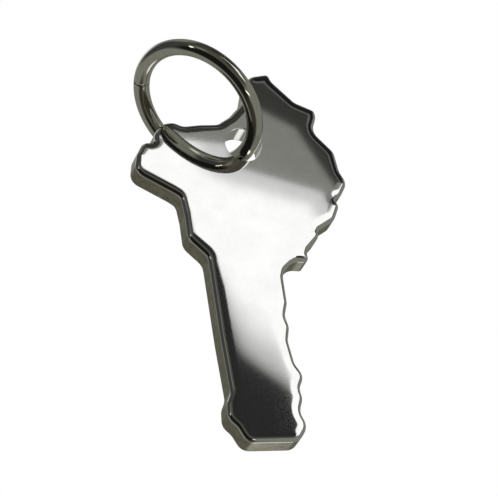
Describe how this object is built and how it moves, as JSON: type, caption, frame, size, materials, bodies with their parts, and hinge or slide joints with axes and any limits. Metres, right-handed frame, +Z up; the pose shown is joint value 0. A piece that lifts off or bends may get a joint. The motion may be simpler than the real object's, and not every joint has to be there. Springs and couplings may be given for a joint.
{
  "type": "map-shaped pendant on a jump ring",
  "caption": "Flat mirror-polished metal pendant cut to a country's outline, hanging through a drilled hole on a closed wire ring.",
  "frame": {"origin": "middle of the wire ring's eye, 0.55 mm in front of the polished face", "axes": "+Z up as the pendant hangs, the polished face looks along -Y, +X to the right of the face"},
  "size_m": [0.0138, 0.0092, 0.0263],
  "materials": {
    "plate_steel": "mirror-polished stainless steel face and edge, satin back",
    "ring_steel": "polished stainless steel wire"
  },
  "bodies": {
    "ring": {"jump_ring": "ring_steel"},
    "plate": {"map_plate": "plate_steel"}
  },
  "joints": [
    {"name": "plate_swing", "type": "hinge", "parent": "ring", "child": "plate", "pos_m": [0.00301, 0.0013, -0.00218], "axis": [0, 1, 0], "range_deg": [-155, 40]}
  ]
}
